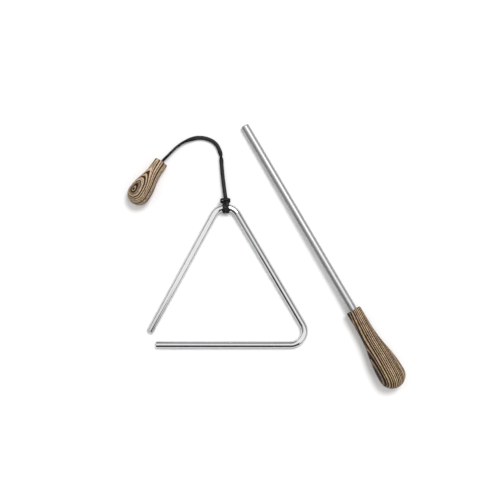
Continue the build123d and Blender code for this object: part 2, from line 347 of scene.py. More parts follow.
def put(tree, kind, inputs=None, **settings):
    """A new node with its settings, and with a value or a link on each socket named."""
    node = tree.nodes.new(kind)
    for name, value in settings.items():
        setattr(node, name, value)
    for name, value in (inputs or {}).items():
        if isinstance(value, bpy.types.NodeSocket):
            tree.links.new(value, node.inputs[name])
        else:
            node.inputs[name].default_value = value
    return node


def calc(tree, operation, *values):
    """One step of arithmetic on sockets and numbers."""
    return put(tree, "ShaderNodeMath", dict(enumerate(values)), operation=operation).outputs["Value"]


def reach_along(tree, place, direction):
    """How far a place reaches along a direction."""
    ways = {0: place, 1: direction}
    return put(tree, "ShaderNodeVectorMath", ways, operation="DOT_PRODUCT").outputs["Value"]


def noise(tree, vector, scale, detail=2.0, roughness=0.5):
    """Cloudy noise between 0 and 1."""
    inputs = {"Vector": vector, "Scale": scale, "Detail": detail, "Roughness": roughness}
    return put(tree, "ShaderNodeTexNoise", inputs).outputs["Fac"]


def line_noise(tree, along, scale, detail=1.0):
    """Noise between 0 and 1 that changes along one value only."""
    inputs = {"W": along, "Scale": scale, "Detail": detail}
    return put(tree, "ShaderNodeTexNoise", inputs, noise_dimensions="1D").outputs["Fac"]


def drawn_noise(tree, place, along, across, detail=2.0, roughness=0.5):
    """Noise that is drawn out along +X or round it, by its scales along and across that axis."""
    inputs = {"Vector": place, "Scale": (along, across, across)}
    stretched = put(tree, "ShaderNodeMapping", inputs).outputs["Vector"]
    return noise(tree, stretched, 1.0, detail, roughness)


def spread(tree, value, given, wanted=(0.0, 1.0)):
    """A value taken smoothly from one range to another."""
    inputs = {
        "Value": value,
        "From Min": given[0],
        "From Max": given[1],
        "To Min": wanted[0],
        "To Max": wanted[1],
    }
    return put(tree, "ShaderNodeMapRange", inputs, interpolation_type="SMOOTHSTEP").outputs["Result"]


def blended(tree, factor, first, second, kind="MIX"):
    """Two colours mixed by a factor. The node's colour sockets go by number, since their names repeat."""
    inputs = {0: factor, 6: first, 7: second}
    return put(tree, "ShaderNodeMix", inputs, data_type="RGBA", blend_type=kind).outputs[2]


def paint(tone, strength=1.0):
    """A colour for a socket, made darker or brighter by a factor."""
    return (*(min(1.0, strength * channel) for channel in tone), 1)


def bumped(tree, shader, height, strength, distance):
    """Raises a surface by a height."""
    inputs = {"Height": height, "Strength": strength, "Distance": distance}
    tree.links.new(put(tree, "ShaderNodeBump", inputs).outputs["Normal"], shader.inputs["Normal"])


def new_finish(name):
    """A new material with its node tree and shader."""
    finish = bpy.data.materials.new(name)
    finish.use_nodes = True
    return finish, finish.node_tree, finish.node_tree.nodes["Principled BSDF"]


def dress(piece, finish):
    """Gives a piece one finish all over."""
    piece.data.materials.clear()
    piece.data.materials.append(finish)


def object_coordinates(tree):
    """Places in the shared frame, since every finished piece sits at its origin."""
    return put(tree, "ShaderNodeTexCoord").outputs["Object"]


def own_coordinates(tree, place):
    """Object coordinates turned into a piece's own axes, with +X along it."""
    turned = place.inverted()
    inputs = {
        "Vector": object_coordinates(tree),
        "Location": turned.translation,
        "Rotation": turned.to_euler("XYZ"),
    }
    return put(tree, "ShaderNodeMapping", inputs).outputs["Vector"]


def wood_depth(tree, given, place):
    """How deep a place lies below the outermost layer, with a slow sway along the grain."""
    across = reach_along(tree, place, given["Across Layers"])
    waves = calc(tree, "SUBTRACT", drawn_noise(tree, place, along=0.035, across=0.16), 0.5)
    sway = calc(tree, "MULTIPLY", waves, given["Sway"])
    return calc(tree, "ADD", calc(tree, "SUBTRACT", given["Outermost"], across), sway)


def wave(tree, count, turn, height):
    """A wave that turns by an angle at each count."""
    return calc(tree, "MULTIPLY", calc(tree, "COSINE", calc(tree, "MULTIPLY", count, turn)), height)


def wood_stripe(tree, given, depth, even):
    """Dark and pale layers: even ones, mixed with rings that widen down from the outermost place."""
    rings = calc(tree, "DIVIDE", calc(tree, "MAXIMUM", depth, 0.0), given["First Ring"])
    rings = calc(tree, "MULTIPLY", calc(tree, "SQRT", rings), given["Ring Share"])
    flat = calc(tree, "MULTIPLY", even, calc(tree, "SUBTRACT", 1.0, given["Ring Share"]))
    count = calc(tree, "ADD", flat, rings)
    drift = calc(tree, "SUBTRACT", line_noise(tree, count, scale=0.7), 0.5)
    uneven = calc(tree, "ADD", count, calc(tree, "MULTIPLY", drift, given["Unevenness"]))
    main_wave = wave(tree, uneven, turn=2 * pi, height=-0.38)
    ripple = wave(tree, uneven, turn=4.7 * pi, height=-0.12)
    level = calc(tree, "ADD", calc(tree, "ADD", main_wave, ripple), 0.5)
    soft = 0.11  # half the width of the change from dark to pale
    low = calc(tree, "SUBTRACT", given["Dark Share"], soft)
    high = calc(tree, "ADD", given["Dark Share"], soft)
    return spread(tree, level, (low, high))


def layered_wood_group():
    """Wood in dark and pale layers across one direction, with pores along the grain, in millimetres."""
    if "LayeredWood" in bpy.data.node_groups:
        return bpy.data.node_groups["LayeredWood"]
    tree = bpy.data.node_groups.new("LayeredWood", "ShaderNodeTree")
    sizes = ("Outermost", "Layer", "First Ring", "Ring Share", "Heart And Shade", "Sway", "Unevenness", "Dark Share")
    sockets = (
        ("INPUT", "NodeSocketVector", ("Vector", "Across Layers")),
        ("INPUT", "NodeSocketFloat", sizes),
        ("INPUT", "NodeSocketColor", ("Pale", "Dark")),
        ("OUTPUT", "NodeSocketColor", ("Color",)),
        ("OUTPUT", "NodeSocketFloat", ("Roughness", "Height")),
    )
    for side, kind, names in sockets:
        for name in names:
            tree.interface.new_socket(name, in_out=side, socket_type=kind)
    given = put(tree, "NodeGroupInput").outputs
    metres = {0: given["Vector"], "Scale": millimetres}
    place = put(tree, "ShaderNodeVectorMath", metres, operation="SCALE").outputs[0]
    depth = wood_depth(tree, given, place)
    even = calc(tree, "DIVIDE", depth, given["Layer"])
    stripe = wood_stripe(tree, given, depth, even)
    # Thin lines in each layer, short dark pores along the grain, cloudy tone and a darker heart, partly
    # painted shade
    thin = spread(tree, line_noise(tree, even, scale=3.7, detail=2.0), (0.36, 0.62), (0.46, 1.16))
    pores = drawn_noise(tree, place, along=0.42, across=3.4, detail=1.0, roughness=0.4)
    pores = spread(tree, pores, (0.36, 0.5), (0.35, 1.0))
    cloud = spread(tree, drawn_noise(tree, place, along=0.05, across=0.16), (0.3, 0.7), (0.86, 1.08))
    # Partly painted shade: darker round the outermost place, which on the handle is its shaded flank
    heart_and_shade = spread(tree, calc(tree, "DIVIDE", depth, given["Heart And Shade"]), (0.4, 1.0), (0.42, 1.0))
    lines = calc(tree, "MULTIPLY", thin, pores)
    shade = calc(tree, "MULTIPLY", lines, calc(tree, "MULTIPLY", cloud, heart_and_shade))
    grey = put(tree, "ShaderNodeCombineColor", {0: shade, 1: shade, 2: shade}).outputs["Color"]
    # Pale layers that go from pink to olive
    pink = paint((1.0, 0.97, 0.96))
    olive = paint((0.93, 0.97, 0.78))
    patches = spread(tree, drawn_noise(tree, place, along=0.09, across=0.3), (0.42, 0.64))
    hue = blended(tree, patches, pink, olive)
    pale = blended(tree, 1.0, given["Pale"], hue, "MULTIPLY")
    tone = blended(tree, stripe, given["Dark"], pale)
    made = {
        "Color": blended(tree, 1.0, tone, grey, "MULTIPLY"),
        "Roughness": spread(tree, pores, (0.4, 1.0), (0.66, 0.46)),
        "Height": pores,
    }
    put(tree, "NodeGroupOutput", made)
    return tree


def wood_finish(name, place, look):
    """Layered wood for a turned piece, in the piece's own axes."""
    finish, tree, shader = new_finish(name)
    across = Vector(look.layer_way).normalized()
    inputs = {
        "Vector": own_coordinates(tree, place),
        "Across Layers": across,
        "Outermost": (across.x * (look.length - look.belly / 2) + look.belly / 2) * millimetres,
        "Layer": look.layer * millimetres,
        "First Ring": look.first_ring * millimetres,
        "Ring Share": look.ring_share,
        "Heart And Shade": look.heart_and_shade * millimetres,
        "Sway": look.sway * millimetres,
        "Unevenness": look.unevenness,
        "Dark Share": look.dark_share,
        "Pale": paint(look.pale),
        "Dark": paint(look.dark),
    }
    wood = put(tree, "ShaderNodeGroup", node_tree=layered_wood_group(), inputs=inputs).outputs
    shader.inputs["Specular IOR Level"].default_value = 0.14
    tree.links.new(wood["Color"], shader.inputs["Base Color"])
    tree.links.new(wood["Roughness"], shader.inputs["Roughness"])
    bumped(tree, shader, wood["Height"], strength=0.3, distance=0.0001)
    return finish


def chrome_finish(look):
    """Bright plating with faint smears and hairlines, and a dark low-angle tint that paints shade on its
    rims.
    """
    finish, tree, shader = new_finish("polished_chrome")
    shader.inputs["Metallic"].default_value = 1.0
    # Painted shade: a dark low-angle tint darkens the reflections at the bar's rims
    shader.inputs["Specular Tint"].default_value = paint(look.rim)
    place = object_coordinates(tree)
    clean = noise(tree, place, scale=240.0, detail=3.0)
    tint = blended(tree, clean, paint(look.smears), paint(look.plating))
    tree.links.new(tint, shader.inputs["Base Color"])
    scales = {"Vector": place, "Scale": (900, 6000, 3000)}
    stretched = put(tree, "ShaderNodeMapping", scales).outputs["Vector"]
    hairlines = noise(tree, stretched, scale=1.0, detail=1.0)
    smeared = spread(tree, clean, (0.3, 0.7), (0.03, 0.07))
    gloss = calc(tree, "ADD", smeared, calc(tree, "MULTIPLY", hairlines, 0.03))
    tree.links.new(gloss, shader.inputs["Roughness"])
    return finish


def steel_finish(place, steel):
    """Satin steel with fine lines from grinding, round the rod and along it."""
    finish, tree, shader = new_finish("satin_steel")
    shader.inputs["Metallic"].default_value = 1.0
    own = own_coordinates(tree, place)
    ground = calc(tree, "MULTIPLY", drawn_noise(tree, own, along=5200, across=500), 0.6)
    drawn = calc(tree, "MULTIPLY", drawn_noise(tree, own, along=70, across=3200), 0.4)
    lines = calc(tree, "ADD", ground, drawn)
    tint = blended(tree, lines, paint(steel, strength=0.86), paint(steel, strength=1.12))
    tree.links.new(tint, shader.inputs["Base Color"])
    tree.links.new(spread(tree, lines, (0.3, 0.7), (0.44, 0.58)), shader.inputs["Roughness"])
    bumped(tree, shader, lines, strength=0.1, distance=0.00002)
    return finish


def leather_finish(leather, painted_edge_shade):
    """Black leather with a pebbled face, darkened along its eased edges with painted shade."""
    finish, tree, shader = new_finish("black_leather")
    place = object_coordinates(tree)
    pebbles = put(tree, "ShaderNodeTexVoronoi", {"Vector": place, "Scale": 2600.0}).outputs["Distance"]
    clouds = noise(tree, place, scale=420.0, detail=3.0)
    worn = paint(leather, strength=1.9)
    tone = blended(tree, spread(tree, clouds, (0.35, 0.7)), paint(leather), worn)
    # The strip's own map runs across it, from one cut edge to the other
    strip = put(tree, "ShaderNodeUVMap", uv_map="strip").outputs["UV"]
    across = put(tree, "ShaderNodeSeparateXYZ", {"Vector": strip}).outputs["Y"]
    from_middle = calc(tree, "ABSOLUTE", calc(tree, "SUBTRACT", across, 0.5))
    # Painted shade: the strip turns darker towards its eased edges
    rim = spread(tree, from_middle, (0.3, 0.46))
    tree.links.new(blended(tree, rim, tone, paint(painted_edge_shade)), shader.inputs["Base Color"])
    tree.links.new(spread(tree, clouds, (0.3, 0.7), (0.46, 0.62)), shader.inputs["Roughness"])
    shader.inputs["Specular IOR Level"].default_value = 0.2
    bumped(tree, shader, pebbles, strength=0.35, distance=0.00006)
    return finish


def even_shares(steps):
    """The shares that even steps reach, from nothing to the whole."""
    return [step / steps for step in range(steps + 1)]


def ogee_outline(sizes):
    """Half of a pear from its round end to the bottom of its bore, as places along and across its axis."""
    radius = ogee_radius(sizes)
    belly = sizes.belly / 2
    neck = sizes.neck / 2
    bore = sizes.bore / 2
    belly_at = sizes.length - belly
    quarter = pi / 2
    sweep = asin((belly_at - sizes.neck_run) / 2 / radius)
    outline = [(sizes.length, 0.0)]
    for turn in (quarter * part for part in even_shares(24)[1:]):
        outline.append((belly_at + belly * cos(turn), belly * sin(turn)))
    arc = [sweep * part for part in even_shares(14)]
    for turn in arc[1:]:
        outline.append((belly_at - radius * sin(turn), belly - radius * (1 - cos(turn))))
    for turn in reversed(arc[:-1]):
        outline.append((sizes.neck_run + radius * sin(turn), neck + radius * (1 - cos(turn))))
    for turn in (quarter * part for part in even_shares(6)):
        outline.append((sizes.edge * (1 - sin(turn)), neck - sizes.edge * (1 - cos(turn))))
    # The face at the mouth is a shallow cone, and the rim of the bore is broken
    broken = 0.0001
    outline += [(2 * broken, bore + broken), (4 * broken, bore)]
    return outline + [(sizes.bore_depth, bore), (sizes.bore_depth, 0.0)]


def turn_piece(outline):
    """Turns an outline round +X, as on a lathe."""
    deselect_all()
    # A small plane, merged to the outline's first place
    bpy.ops.mesh.primitive_plane_add(size=0.001, location=(outline[0][0], 0, outline[0][1]))
    bpy.ops.object.transform_apply(location=True, rotation=True, scale=True)
    bpy.ops.object.mode_set(mode="EDIT")
    bpy.ops.mesh.select_all(action="SELECT")
    bpy.ops.mesh.merge(type="CENTER")
    for (along, out), (next_along, next_out) in zip(outline, outline[1:]):
        bpy.ops.mesh.extrude_vertices_move(
            TRANSFORM_OT_translate={"value": (next_along - along, 0, next_out - out)}
        )
    bpy.ops.mesh.select_all(action="SELECT")
    bpy.ops.mesh.spin(steps=turned_steps, angle=2 * pi, center=(0, 0, 0), axis=(1, 0, 0))
    bpy.ops.mesh.select_all(action="SELECT")
    bpy.ops.mesh.remove_doubles(threshold=weld)
    bpy.ops.mesh.normals_make_consistent(inside=False)
    bpy.ops.object.mode_set(mode="OBJECT")
    bpy.ops.object.shade_smooth_by_angle(angle=radians(35))
    return bpy.context.object


def turn_pear(sizes, place, name, body, node, slot):
    """Turns a pear, lays it at its place and gives it its wood."""
    pear = turn_piece(ogee_outline(sizes))
    settle(pear, place)
    finished(pear, name, body, node)
    dress(pear, wood_finish(slot, place, sizes))


def round_cut_ends(edge):
    """Closes the open ends of a tube in edit mode and rounds their rims."""
    bpy.ops.mesh.select_all(action="DESELECT")
    bpy.ops.mesh.select_mode(type="EDGE")
    bpy.ops.mesh.select_non_manifold()
    bpy.ops.mesh.fill_holes(sides=0)
    bpy.ops.mesh.select_mode(type="FACE")
    bpy.ops.mesh.select_all(action="DESELECT")
    bpy.ops.mesh.select_face_by_sides(number=4, type="GREATER")
    bpy.ops.mesh.region_to_loop()
    bpy.ops.mesh.bevel(offset=edge, segments=4, profile=0.5, affect="EDGES")
    bpy.ops.mesh.select_mode(type="VERT")
    bpy.ops.mesh.select_all(action="SELECT")
    bpy.ops.mesh.normals_make_consistent(inside=False)


class TRIANGLE_OT_bend_bar(Operator):
    """Bend the steel bar to its triangle"""

    bl_idname = "triangle.bend_bar"
    bl_label = "Bend Bar"

    def execute(self, context):
        sizes = context.scene.triangle_bar_sizes
        apex_run = sizes.bend_radius / tan(sizes.apex_angle / 2)
        base_run = sizes.bend_radius / tan(sizes.base_angle / 2)
        sharp = sharp_apex(sizes)
        down = from_above(-sizes.base_angle)
        leg = from_above(-sizes.base_angle - sizes.apex_angle)
        corner = sharp + down * sizes.closed_side
        deselect_all()
        bpy.ops.mesh.primitive_circle_add(
            vertices=bar_steps,
            radius=sizes.diameter / 2,
            location=sharp + leg * sizes.left_leg,
            rotation=(-leg).to_track_quat("Z", "Y").to_euler(),
        )
        bar = context.object
        bpy.ops.object.transform_apply(location=True, rotation=True, scale=True)
        bpy.ops.object.mode_set(mode="EDIT")
        bpy.ops.mesh.select_all(action="SELECT")
        self.straight(-leg * (sizes.left_leg - apex_run))
        self.bend(pi - sizes.apex_angle, Vector((0, -sizes.bend_radius, 0)))
        self.straight(down * (sizes.closed_side - apex_run - base_run))
        self.bend(pi - sizes.base_angle, corner + Vector((-base_run, sizes.bend_radius, 0)))
        self.straight(Vector((base_run - sizes.base_leg, 0, 0)))
        bpy.ops.mesh.select_all(action="SELECT")
        bpy.ops.mesh.remove_doubles(threshold=weld)
        round_cut_ends(sizes.edge)
        bpy.ops.object.mode_set(mode="OBJECT")
        bpy.ops.object.shade_smooth_by_angle(angle=radians(40))
        tilt = asin((apex.z - sizes.diameter / 2) / -corner.y)
        settle(bar, Matrix.Translation(apex) @ Matrix.Rotation(tilt, 4, "X"))
        dress(finished(bar, "bar", "triangle", "triangle_bar"), chrome_finish(sizes))
        return {"FINISHED"}

    def straight(self, run):
        """Draws the bar's open end out along a run."""
        bpy.ops.mesh.extrude_region_move(TRANSFORM_OT_translate={"value": run})

    def bend(self, turn, centre):
        """Takes the bar's open end round a centre."""
        bpy.ops.mesh.spin(steps=bend_steps, angle=turn, center=centre, axis=(0, 0, 1))


class TRIANGLE_OT_turn_holder(Operator):
    """Turn the small wooden holder"""

    bl_idname = "triangle.turn_holder"
    bl_label = "Turn Holder"

    def execute(self, context):
        sizes = context.scene.triangle_holder_sizes
        place = holder_place(context.scene)
        turn_pear(sizes, place, "holder", "holder", "holder_knob", "holder_wood")
        return {"FINISHED"}


class TRIANGLE_OT_turn_handle(Operator):
    """Turn the long wooden handle of the beater"""

    bl_idname = "triangle.turn_handle"
    bl_label = "Turn Handle"

    def execute(self, context):
        sizes = context.scene.triangle_handle_sizes
        rod = context.scene.triangle_rod_sizes
        place = beater_place(context.scene) @ Matrix.Translation((rod.reach, 0, 0))
        turn_pear(sizes, place, "handle", "beater", "beater_handle", "handle_wood")
        return {"FINISHED"}


class TRIANGLE_OT_draw_rod(Operator):
    """Draw the steel rod of the beater"""

    bl_idname = "triangle.draw_rod"
    bl_label = "Draw Rod"

    def execute(self, context):
        sizes = context.scene.triangle_rod_sizes
        place = beater_place(context.scene)
        deselect_all()
        bpy.ops.mesh.primitive_circle_add(
            vertices=bar_steps, radius=sizes.diameter / 2, rotation=(0, pi / 2, 0)
        )
        rod = context.object
        bpy.ops.object.transform_apply(location=True, rotation=True, scale=True)
        bpy.ops.object.mode_set(mode="EDIT")
        bpy.ops.mesh.select_all(action="SELECT")
        bpy.ops.mesh.extrude_region_move(
            TRANSFORM_OT_translate={"value": (sizes.reach + sizes.seat, 0, 0)}
        )
        round_cut_ends(sizes.edge)
        bpy.ops.object.mode_set(mode="OBJECT")
        bpy.ops.object.shade_smooth_by_angle(angle=radians(40))
        settle(rod, place)
        finished(rod, "rod", "beater", "beater_rod")
        dress(rod, steel_finish(place, sizes.steel))
        return {"FINISHED"}


def smooth(part):
    """A share that starts and stops gently."""
    return part * part * (3 - 2 * part)


def roll_at(part):
    """The lace's roll at a share of its length."""
    for (start, first), (stop, last) in zip(lace_roll, lace_roll[1:]):
        if part <= stop:
            return radians(first + (last - first) * smooth((part - start) / (stop - start)))
    return radians(lace_roll[-1][1])


def read_route(points):
    """The places along a smooth line that a route's points draw, read from its curve."""
    curve = bpy.data.curves.new("lace_route", "CURVE")
    curve.dimensions = "3D"
    curve.resolution_u = 24
    spline = curve.splines.new("NURBS")
    spline.points.add(len(points) - 1)
    for knot, point in zip(spline.points, points):
        knot.co = (*point, 1)
    spline.order_u = 3
    spline.use_endpoint_u = True
    carrier = bpy.data.objects.new("lace_route", curve)
    bpy.context.scene.collection.objects.link(carrier)
    bpy.context.view_layer.update()
    line = bpy.data.meshes.new_from_object(carrier.evaluated_get(bpy.context.evaluated_depsgraph_get()))
    places = [vertex.co.copy() for vertex in line.vertices]
    bpy.data.objects.remove(carrier)
    bpy.data.curves.remove(curve)
    bpy.data.meshes.remove(line)
    return places


def runs_along(places):
    """The distance from the start to each place."""
    runs = [0.0]
    for before, here in zip(places, places[1:]):
        runs.append(runs[-1] + (here - before).length)
    return runs


def strip_section(width, thickness):
    """The strip's outline: places across and out of it, with the place on its map across it."""
    half = width / 2
    deep = thickness / 2
    ease = thickness * 0.3  # of the long edges
    full = deep * 1.02  # in the middle of the two faces
    shoulder = 0.1  # on the map, where a face meets an eased edge
    lower = (
        (-half, -deep + ease, map_edge),
        (-half + ease, -deep, shoulder),
        (0, -full, 0.5),
        (half - ease, -deep, 1 - shoulder),
        (half, -deep + ease, 1 - map_edge),
    )
    return lower + tuple((side, -rise, across) for side, rise, across in reversed(lower))


def strip_mesh(name, stations, width, thickness):
    """A flat strip with eased edges through stations: each a place, a direction and the way across."""
    section = strip_section(width, thickness)
    count = len(section)
    vertices, faces, maps = [], [], []
    runs = runs_along([place for place, _, _ in stations])
    for place, along, across in stations:
        out = along.cross(across).normalized()
        vertices += [place + across * side + out * rise for side, rise, _ in section]
    for ring in range(len(stations) - 1):
        for step in range(count):
            after = (step + 1) % count
            corners = ((ring, step), (ring, after), (ring + 1, after), (ring + 1, step))
            faces.append([row * count + column for row, column in corners])
            maps += [(runs[row] * map_scale, section[column][2]) for row, column in corners]
    last = (len(stations) - 1) * count
    for cap in (range(count - 1, -1, -1), range(last, last + count)):
        faces.append(list(cap))
        maps += [(0, map_edge)] * count
    mesh = bpy.data.meshes.new(name)
    mesh.from_pydata(vertices, [], faces)
    layer = mesh.uv_layers.new(name="strip")
    for loop, place in zip(layer.data, maps):
        loop.uv = place
    mesh.update()
    strip = bpy.data.objects.new(name, mesh)
    bpy.context.scene.collection.objects.link(strip)
    deselect_all()
    strip.select_set(True)
    bpy.context.view_layer.objects.active = strip
    bpy.ops.object.mode_set(mode="EDIT")
    bpy.ops.mesh.select_all(action="SELECT")
    bpy.ops.mesh.normals_make_consistent(inside=False)
    bpy.ops.object.mode_set(mode="OBJECT")
    bpy.ops.object.shade_smooth_by_angle(angle=radians(50))
    return strip


def pulled_line(start, stop, start_pull, stop_pull, steps):
    """The line from one place to another with a pull at each end, as places and directions."""
    reach = (stop - start).length
    first = start_pull * reach
    last = stop_pull * reach
    line = []
    for t in even_shares(steps):
        place = (
            start * (2 * t**3 - 3 * t**2 + 1) + first * (t**3 - 2 * t**2 + t)
            + stop * (3 * t**2 - 2 * t**3) + last * (t**3 - t**2)
        )
        along = (
            start * (6 * t**2 - 6 * t) + first * (3 * t**2 - 4 * t + 1)
            + stop * (6 * t - 6 * t**2) + last * (3 * t**2 - 2 * t)
        )
        line.append((place, along.normalized()))
    return line


def with_shares(line):
    """The places and directions of a line, each after the share of its length that is behind it."""
    runs = runs_along([place for place, _ in line])
    return [(run / runs[-1], place, along) for run, (place, along) in zip(runs, line)]


def at_share(line, part):
    """The place and direction nearest to a share of a line's length."""
    _, place, along = min(with_shares(line), key=lambda station: abs(station[0] - part))
    return place, along


def squared(across, along):
    """The way across, made square to the direction."""
    return (across - along * across.dot(along)).normalized()


class HitchWraps:
    """The two wraps of the hitch, side by side round the bend and slack on its inner side."""

    def __init__(self, lace, bar):
        self.step = (lace.hitch_width + lace.gap) / 2
        self.half = self.step + lace.hitch_width / 2
        inner_radius = bar.bend_radius - bar.diameter / 2
        self.inside = bar.bend_radius + lace.clearance - sqrt(inner_radius**2 - self.half**2)
        self.middle = self.inside + lace.hitch_thickness / 2
        self.slack = lace.slack

    def out(self, turn):
        """How far the strip is from the middle of the bar, at a turn round it from +Y."""
        return self.middle + self.slack * max(0, -cos(turn)) ** 2

    def place(self, side, turn):
        """A place on the wrap at one side."""
        out = self.out(turn)
        return apex + Vector((side * self.step, out * cos(turn), out * sin(turn)))

    def along(self, turn):
        """The direction along a wrap, which runs against the turn."""
        out = self.out(turn)
        growth = 2 * self.slack * max(0, -cos(turn)) * sin(turn)
        y = out * sin(turn) - growth * cos(turn)
        z = -out * cos(turn) - growth * sin(turn)
        return Vector((0, y, z)).normalized()


class TRIANGLE_OT_lay_lace(Operator):
    """Lay the doubled lace and hitch it round the apex"""

    bl_idname = "triangle.lay_lace"
    bl_label = "Lay Lace"

    def execute(self, context):
        sizes = context.scene.triangle_lace_sizes
        wraps = HitchWraps(sizes, context.scene.triangle_bar_sizes)
        holder = holder_place(context.scene)
        holder_mouth = holder.translation
        places = self.route_places(sizes, wraps, holder_mouth, holder.to_3x3().col[0])
        upper = self.ply_stations(places, sizes, 1)
        lower = self.ply_stations(places, sizes, -1)
        stations = self.hitch_stations(sizes, wraps, upper[-1], lower[-1])
        leather = leather_finish(sizes.leather, sizes.painted_edge_shade)
        hitch = strip_mesh("lace_hitch", stations, sizes.hitch_width, sizes.hitch_thickness)
        dress(finished(hitch, "hitch", "holder", "lace_hitch"), leather)
        for name, stations, pieces in (("upper_ply", upper, [hitch]), ("lower_ply", lower, [])):
            ply = strip_mesh(name, stations, sizes.width, sizes.thickness)
            dress(finished(ply, name, "holder", "lace_" + name), leather)
        return {"FINISHED"}

    def route_places(self, sizes, wraps, mouth, axis):
        """The middle line of the doubled lace, from its seat in the holder to the hitch."""
        foot = Vector((apex.x, apex.y, 0))
        leave = mouth - axis * sizes.straight + lace_lean
        past_apex = wraps.inside + sizes.hitch_thickness + sizes.neck
        plies_end = apex + Vector((sizes.side_step, past_apex, -sizes.drop))
        points = [mouth + axis * sizes.seat, mouth, leave]
        points += [foot + Vector(place) for place in lace_route] + [plies_end]
        return read_route(points)

    def ply_stations(self, places, sizes, side):
        """One ply of the lace, on one side of the route."""
        runs = runs_along(places)
        free = runs[-1] - sizes.seat
        stations = []
        for number, place in enumerate(places):
            before = places[max(number - 1, 0)]
            after = places[min(number + 1, len(places) - 1)]
            along = (after - before).normalized()
            roll = roll_at(max(0.0, (runs[number] - sizes.seat) / free))
            flat = along.cross(up).normalized()
            across = flat * cos(roll) + flat.cross(along) * sin(roll)
            shift = along.cross(across) * (side * (sizes.thickness + sizes.press) / 2)
            stations.append((place + shift, along, across))
        return stations

    def hitch_stations(self, sizes, wraps, upper, lower):
        """The hitch, from the end of the lower leg over the bight to the end of the upper leg."""
        upper_leg = self.leg_line(wraps, 1, sizes.upper_leave, sizes.upper_hold, upper)
        lower_leg = self.leg_line(wraps, -1, sizes.lower_leave, sizes.lower_hold, lower)
        crossed, crossed_along = at_share(upper_leg, sizes.bight_place)
        over = Vector((0, crossed_along.y, crossed_along.z)).normalized()
        out = Vector((0, -over.z, over.y))
        middle = Vector((apex.x + sizes.side_step, crossed.y, crossed.z))
        middle += out * (sizes.hitch_thickness + sizes.bight_gap)
        halves = []
        for side, tilt, leave, leg in (
            (-1, sizes.left_tilt, sizes.lower_leave, lower_leg),
            (1, sizes.right_tilt, sizes.upper_leave, upper_leg),
        ):
            reach = wraps.half + sizes.bight_lobe - sizes.bight_turn
            stations = self.bight_over_legs(side, tilt, reach, sizes.bight_turn, (middle, over, out))
            stations += self.bight_to_wrap(sizes, wraps, side, stations[-1])
            stations += self.wrap_round_bar(wraps, side, sizes.back_leave, leave - 2 * pi)
            stations += self.leg_to_ply(side, leg, sizes.width / sizes.hitch_width)
            halves.append(stations)
        left, right = halves
        return [(place, -along, across) for place, along, across in reversed(left[1:])] + right

    def leg_line(self, wraps, side, leave, hold, ply_end):
        """The line of a leg from its wrap to the end of its ply."""
        place, along, _ = ply_end
        return pulled_line(wraps.place(side, leave), place, wraps.along(leave) * hold, -along, steps=40)

    def bight_over_legs(self, side, whole_tilt, reach, radius, crossing):
        """The bight from its middle over a leg and round its turn down, tilting on the way."""
        middle, over, out = crossing
        sideways = Vector((side, 0, 0))
        start = middle + sideways * reach
        down = -out * cos(whole_tilt) - over * sin(whole_tilt)
        tilted = over * cos(whole_tilt) - out * sin(whole_tilt)
        stations = []
        for part in even_shares(8):
            tilt = whole_tilt * smooth(part)
            stations.append((middle.lerp(start, part), sideways, over * cos(tilt) - out * sin(tilt)))
        for part in even_shares(16)[1:]:
            turn = pi / 2 * part
            place = start + sideways * radius * sin(turn) + down * radius * (1 - cos(turn))
            stations.append((place, sideways * cos(turn) + down * sin(turn), tilted))
        return stations

    def bight_to_wrap(self, sizes, wraps, side, turned_down):
        """The bight from its turn down to its wrap, with a quarter turn of the strip on the way."""
        start, down, tilted = turned_down
        sideways = Vector((side, 0, 0))
        wrapped = wraps.place(side, sizes.back_leave)
        wrapped_pull = wraps.along(sizes.back_leave) * sizes.bight_hold
        line = pulled_line(start, wrapped, down, wrapped_pull, steps=30)
        stations = []
        for part, place, along in with_shares(line)[1:]:
            quarter = pi / 2 * smooth(part) * (1 - sizes.bight_late * (1 - part))
            across = tilted * cos(quarter) - sideways * sin(quarter)
            stations.append((place, along, squared(across, along)))
        return stations

    def wrap_round_bar(self, wraps, side, back, front):
        """A wrap from where the bight leaves it to where its leg does."""
        turns = [back + (front - back) * part for part in even_shares(60)[1:]]
        return [(wraps.place(side, turn), wraps.along(turn), Vector((-side, 0, 0))) for turn in turns]

    def leg_to_ply(self, side, leg, widening):
        """A leg from its wrap to the end of its ply, where it is as wide as the ply."""
        sideways = Vector((side, 0, 0))
        stations = []
        for part, place, along in with_shares(leg)[1:]:
            across = -sideways * (1 - part) - along.cross(up).normalized() * (side * part)
            wider = 1 + (widening - 1) * part
            stations.append((place, along, squared(across, along) * wider))
        return stations


